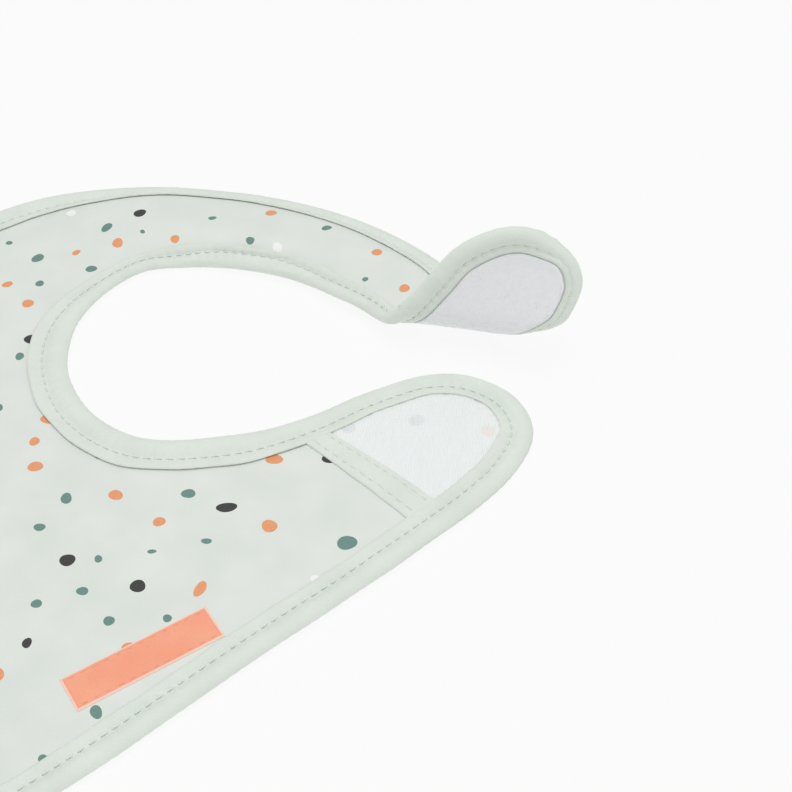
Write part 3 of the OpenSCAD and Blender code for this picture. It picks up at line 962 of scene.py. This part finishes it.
def band():
    """Tape across the lower end of the hook patch, from lip to lip."""
    low0, low1 = inside([BAND_IN[1]], 9.6)[0], inside([BAND_OUT[0]], 9.6)[0]
    up0, up1 = inside([BAND_IN[0]], 9.6)[0], inside([BAND_OUT[1]], 9.6)[0]
    across = np.array([(-0.02, 1.72), (-0.03, 2.1), (0.0, 2.38), (0.06, 2.52), (0.14, 2.55), (0.22, 2.44),
                       (0.27, 2.34), (0.32, 2.44), (0.42, 2.56), (0.55, 2.58), (0.68, 2.56), (0.79, 2.46),
                       (0.85, 2.36), (0.90, 2.44), (0.96, 2.5), (1.0, 2.4), (1.02, 2.1), (1.01, 1.72)])
    n, m = 90, len(across)
    t = np.linspace(0, 1, n)
    s = t * np.linalg.norm(low1 - low0)
    bow = 0.35 * wander(s, 41, 18)
    low = low0 + (low1 - low0) * t[:, None]
    up = up0 + (up1 - up0) * t[:, None]
    p = low[:, None] + (up - low)[:, None] * across[None, :, :1]
    p = p + bow[:, None, None] * np.array([0, 0.5]) * (np.abs(across[None, :, :1] - 0.5) > 0.35)
    beat = np.cos(2 * np.pi * s / 2.6)[:, None]
    near = np.exp(-((across[:, 0] - 0.27) / 0.07) ** 2) + np.exp(-((across[:, 0] - 0.85) / 0.07) ** 2)
    h = across[None, :, 1] + 0.06 * beat * near[None]
    verts = place(p.reshape(-1, 2), h.ravel(), "body")
    faces = [f[::-1] for f in tube_faces(n, m)]
    obj = mesh("band_tape", verts, faces, TAPE, p.reshape(-1, 2), crease=0.95)
    fit_out(obj, "body", "binding_tape", "hook_patch_band")
    rows = []
    for f in (0.27, 0.85):
        a, b = low0 + (up0 - low0) * f, low1 + (up1 - low1) * f
        rows.append(straight_path(a + (b - a) * 0.03, b - (b - a) * 0.03, 2.36))
    thread = stitch_row("band_stitches", rows, "body", "body", ["band_stitching"], THREAD, "thread")
    return obj, thread


hook = hook_patch()
band_tape, band_thread = band()


def loop_patch():
    loop = line_of(CURL_N - 0.3, CURL_B + 0.3, 8.8, 0.9)
    points = grid(loop, 0.8, 0.8, math.radians(38), 0.3)
    p, tri = triangulate([loop], [], points, lambda m: in_polygon(m, loop) & (past_curl(m) > -6))
    dice = np.random.default_rng(5)
    fluff = dice.uniform(-1, 1, len(p))
    clump = np.sin(p[:, 0] * 1.1 + np.sin(p[:, 1] * 0.8)) * np.sin(p[:, 1] * 1.3 + np.sin(p[:, 0] * 0.7))
    low = 0.1 - 0.012 * fluff - 0.012 * clump
    obj = closed(p, tri, "strap", low, 0.68, "loop_patch_tape", [PILE], crease=0)
    return fit_out(obj, "tab", "loop_tape", "loop_patch", "fold_loop_patch"), p


def pile(p):
    """Single loops of fibre standing on the loop tape."""
    dice = np.random.default_rng(8)
    pick = p[dice.integers(0, len(p), 3000)] + dice.uniform(-0.4, 0.4, (3000, 2))
    turn = dice.uniform(0, 2 * np.pi, len(pick))
    long = dice.uniform(0.3, 0.8, len(pick))
    tall = dice.uniform(0.0, 0.035, len(pick))
    verts, height, faces = [], [], []
    for k, (c, a, l, z) in enumerate(zip(pick, turn, long, tall)):
        way, side = np.array([math.cos(a), math.sin(a)]), np.array([-math.sin(a), math.cos(a)])
        at = len(verts)
        for i in range(5):
            f = i / 4 - 0.5
            mid, lift = c + way * f * l, 0.11 - z * math.cos(math.pi * f)
            for x, y in ((0.02, 0), (-0.02, 0), (0, 0.02)):
                verts.append(mid + side * x)
                height.append(lift - y)
        for i in range(4):
            for j in range(3):
                a0, b0 = at + 3 * i + j, at + 3 * i + (j + 1) % 3
                faces.append((a0, b0, b0 + 3, a0 + 3))
        faces += [(at + 2, at + 1, at), (at + 12, at + 13, at + 14)]
    q = np.array(verts)
    obj = mesh("loop_patch_pile", place(q, np.array(height), "strap"), faces, PILE, q, crease=0)
    return fit_out(obj, "tab", "loop_tape")


loops, loops_at = loop_patch()
fibres = pile(loops_at)


# ---------------- label
def label():
    at = inside([5.93], TAPE_WIDE + 0.6)[0]
    c, s = math.cos(math.radians(-4)), math.sin(math.radians(-4))
    wide, long, rim = 11.3, 42.0, 0.55

    def put(local):
        return at + np.column_stack([c * local[:, 0] - s * local[:, 1], s * local[:, 0] + c * local[:, 1]])
    xs = np.unique(np.concatenate([[-wide, -wide + 0.12, -0.12, 0], np.linspace(-wide + rim, -rim, 17)]))
    ys = np.unique(np.concatenate([[-long, -long + 0.12, -0.12, 0], np.linspace(-long + rim, -rim, 61)]))
    g = np.stack(np.meshgrid(xs, ys), -1).reshape(-1, 2)
    nx = len(xs)
    off = np.minimum(np.minimum(g[:, 0] + wide, -g[:, 0]), np.minimum(g[:, 1] + long, -g[:, 1]))
    high = 1.84 + 0.26 * smooth(off / 0.5) + 0.16 * smooth((off - 0.9) / 2.2)
    high += 0.035 * np.sin(g[:, 1] * 1.15) * smooth(off / 3)
    n = len(g)
    top, bottom = place(put(g), high, "body"), place(put(g), ON_TOP, "body")
    faces, index = [], []
    for j in range(len(ys) - 1):
        for i in range(nx - 1):
            a = j * nx + i
            mid = g[[a, a + 1, a + nx, a + nx + 1]].mean(0)
            faces.append((a, a + 1, a + nx + 1, a + nx))
            edge_off = min(mid[0] + wide, -mid[0], mid[1] + long, -mid[1])
            index.append(1 if edge_off < rim else 0)
    for f in list(faces):
        faces.append(tuple(v + n for v in f[::-1]))
        index.append(0)
    ring = (list(range(nx)) + [j * nx + nx - 1 for j in range(1, len(ys))]
            + [(len(ys) - 1) * nx + i for i in range(nx - 2, -1, -1)]
            + [j * nx for j in range(len(ys) - 2, 0, -1)])
    for a, b in zip(ring, ring[1:] + ring[:1]):
        faces.append((b, a, a + n, b + n))
        index.append(1)
    obj = mesh("label_cloth", np.vstack([top, bottom]), faces, [CORAL, PALE_CORAL], np.vstack([g, g]), index)
    fit_out(obj, "body", "label_cloth", "side_label")
    x0, x1, y0, y1 = -1.25, -wide + 1.25, -1.1, -long + 1.1
    box = put(np.array([(x0, y0), (x0, y1), (x1, y1), (x1, y0)]))
    rows = [straight_path(box[0], box[1], 2.06), straight_path(box[2], box[3], 2.06)]
    thread = stitch_row("label_stitches", rows, "body", "body", ["label_stitching"], PALE_THREAD,
                        "label_thread", 0.13)
    return obj, thread


label_piece, label_thread = label()


for sign, hand in ((1, "right"), (-1, "left")):
    ys = np.linspace(POCKET_Y, MOUTH_Y, 40)
    side = np.column_stack([side_x(ys) - 0.1, ys])
    middle_line = np.column_stack([np.zeros(30), np.linspace(MOUTH_Y, POCKET_Y, 30)])
    bottom = np.column_stack([np.linspace(0, side[0, 0], 50)[1:-1], np.full(48, POCKET_Y)])
    mouth = np.column_stack([np.linspace(side[-1, 0], 0, 60)[1:-1], np.full(58, MOUTH_Y)])
    loop = np.vstack([side, mouth, middle_line, bottom]) * [sign, 1]
    points = grid(loop, 2.1, 2.1, 0.0, 0.7)
    cloth, p, tri = printed(f"pocket_cloth_{hand}", [loop], [], points, lambda m: in_polygon(m, loop),
                            "pocket", 0.0, 0.5, POCKET_DOTS)
    fit_out(cloth, hand, "printed_cloth", f"pocket_gusset_{hand}", *(["pocket_panel"] if sign == 1 else []))

    # Tape folded over the mouth
    prof = np.array([
        (-7.0, 0.52), (-7.1, 0.9), (-6.7, 1.16), (-5.6, 1.18), (-4.6, 1.0), (-4.1, 0.9), (-3.5, 1.02),
        (-2.4, 1.5), (-1.0, 1.85), (0.4, 1.7), (1.2, 1.0), (1.35, 0.25), (1.2, -0.45), (0.2, -1.05),
        (-1.6, -1.1), (-3.6, -0.7), (-5.2, -0.66), (-6.8, -0.6), (-7.0, -0.02)])
    m, k = len(prof), 150
    x = np.linspace(0, side[-1, 0] - 0.3, k)
    beat = np.cos(2 * np.pi * x / PITCH)[:, None]
    across, up = prof[None, :, 0], prof[None, :, 1]
    h = up + 0.07 * beat * np.exp(-((across + 3.6) / 1.6) ** 2) * (up > 0.5)
    q = np.stack(np.broadcast_arrays(sign * x[:, None], MOUTH_Y + prof[None, :, 0]), -1).reshape(-1, 2)
    faces = [(i * m + j, (i + 1) * m + j, (i + 1) * m + (j + 1) % m, i * m + (j + 1) % m)
             for i in range(k - 1) for j in range(m)]
    faces += [tuple(range(m)), tuple((k - 1) * m + j for j in range(m - 1, -1, -1))]
    if sign < 0:
        faces = [f[::-1] for f in faces]
    tape = mesh(f"pocket_mouth_tape_{hand}", place(q, h.ravel(), "pocket"), faces, TAPE, q, crease=0.95)
    fit_out(tape, hand, "binding_tape", *(["pocket_mouth_binding"] if sign == 1 else []))
    end_x = sign * (side[-1, 0] - 1.5)
    beside = (SIDE_LINE[:, 1] > POCKET_Y + 2) & (SIDE_LINE[:, 1] < MOUTH_Y - 8) & (SIDE_LINE[:, 0] > 60)
    u_side = SIDE_U[beside]
    seam = inside(u_side, SIDE_IN + 1.4) * [sign, 1]
    normal = (inside(u_side, SIDE_IN + 2.4) * [sign, 1]) - seam
    run = np.concatenate([[0], np.cumsum(np.linalg.norm(np.diff(seam, axis=0), axis=1))])
    rows = [straight_path((0, MOUTH_Y - 4.1), (end_x, MOUTH_Y - 4.1), 0.95),
            straight_path((0, POCKET_Y + 1.6), (sign * (side[0, 0] - 3), POCKET_Y + 1.6), 0.5),
            (seam, np.full(len(seam), 0.5), normal, run)]
    thread = stitch_row(f"pocket_stitches_{hand}", rows, "pocket", hand,
                        ["pocket_stitching"] if sign == 1 else [], THREAD, "thread")


# ---------------- stage, light and camera
def floor():
    data = bpy.data.meshes.new("floor")
    corners = [(x, y, -0.0004) for x, y in ((-3, -3), (3, -3), (3, 3), (-3, 3))]
    data.from_pydata(corners, [], [(0, 1, 2, 3)])
    obj = bpy.data.objects.new("floor", data)
    bpy.context.scene.collection.objects.link(obj)
    mat = bpy.data.materials.new("floor")
    mat.use_nodes = True
    shader = mat.node_tree.nodes["Principled BSDF"]
    for socket, value in (("Base Color", (0.10, 0.10, 0.10, 1)), ("Roughness", 1), ("Specular IOR Level", 0),
                          ("Emission Color", (1, 1, 1, 1)), ("Emission Strength", 0.87)):
        shader.inputs[socket].default_value = value
    data.materials.append(mat)


def area_light(name, at, size, power, target=(0.03, 0.03, 0)):
    light = bpy.data.lights.new(name, "AREA")
    light.shape, light.size, light.energy = "SQUARE", size, power
    obj = bpy.data.objects.new(name, light)
    obj.location = at
    obj.rotation_euler = (Vector(target) - Vector(at)).to_track_quat("-Z", "Y").to_euler()
    bpy.context.scene.collection.objects.link(obj)


floor()
world = bpy.data.worlds.new("soft_box")
world.use_nodes = True
world.node_tree.nodes["Background"].inputs[0].default_value = (1, 1, 1, 1)
world.node_tree.nodes["Background"].inputs[1].default_value = 0.62
bpy.context.scene.world = world
area_light("key", (0.08, -0.05, 1.1), 0.8, 4.9)

scene = bpy.context.scene
scene.view_settings.view_transform = "Standard"
camera = bpy.data.cameras.new("camera")
camera.lens, camera.sensor_width = 63.64, 36
camera.clip_start = 0.01
view = bpy.data.objects.new("camera", camera)
aim, away = Vector((0.0503, 0.036, 0)), 0.434
azimuth, elevation = math.radians(53), math.radians(45)
view.location = aim + away * Vector((math.sin(azimuth) * math.cos(elevation),
                                     -math.cos(azimuth) * math.cos(elevation), math.sin(elevation)))
view.rotation_euler = (aim - view.location).to_track_quat("-Z", "Y").to_euler()
scene.collection.objects.link(view)
scene.camera = view

bpy.context.view_layer.update()
